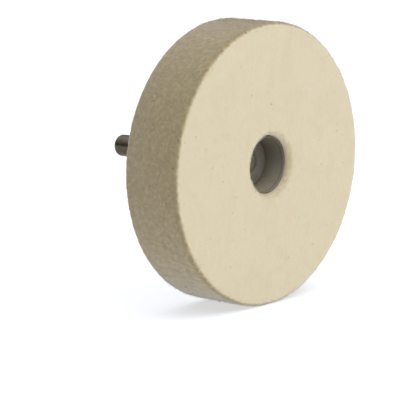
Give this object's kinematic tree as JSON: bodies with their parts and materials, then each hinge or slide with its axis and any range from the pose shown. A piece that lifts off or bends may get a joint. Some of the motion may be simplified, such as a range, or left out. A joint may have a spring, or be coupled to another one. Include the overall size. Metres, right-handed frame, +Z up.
{
  "type": "felt polishing wheel on a drill arbor",
  "caption": "Thick hard-felt wheel on a straight-shank drill arbor, clamped between a back flange and a sunk steel cup, for slicking leather edges and polishing.",
  "frame": {"origin": "centre of the shank's end face, on the tool's axis", "axes": "+Y along the tool's axis and out of the shank's end; the wheel's working face looks along -Y; +Z up"},
  "size_m": [0.1, 0.0722, 0.1],
  "materials": {
    "felt": "matte",
    "nylon": "matte",
    "spindle_steel": "satin",
    "dark_steel": "satin"
  },
  "bodies": {
    "tool": {"felt_wheel": "felt", "bore_bush": "nylon", "arbor_spindle": "spindle_steel", "rear_nut": "dark_steel", "rear_spring_washer": "dark_steel", "rear_flange": "dark_steel", "clamp_cup": "dark_steel"},
    "washer": {"nut_washer": "dark_steel"},
    "nut": {"clamp_nut": "dark_steel"}
  },
  "joints": [
    {"name": "nut_travel", "type": "slide", "parent": "tool", "child": "washer", "axis": [0, -1, 0], "range_m": [0, 0.00313]},
    {"name": "nut_turn", "type": "hinge", "parent": "washer", "child": "nut", "pos_m": [0, -0.0609, 0], "axis": [0, -1, 0], "range_deg": [0, 900]}
  ],
  "couplings": [
    {"joint": "nut_travel", "follows": "nut_turn", "m_per_rad": 0.00019894}
  ]
}
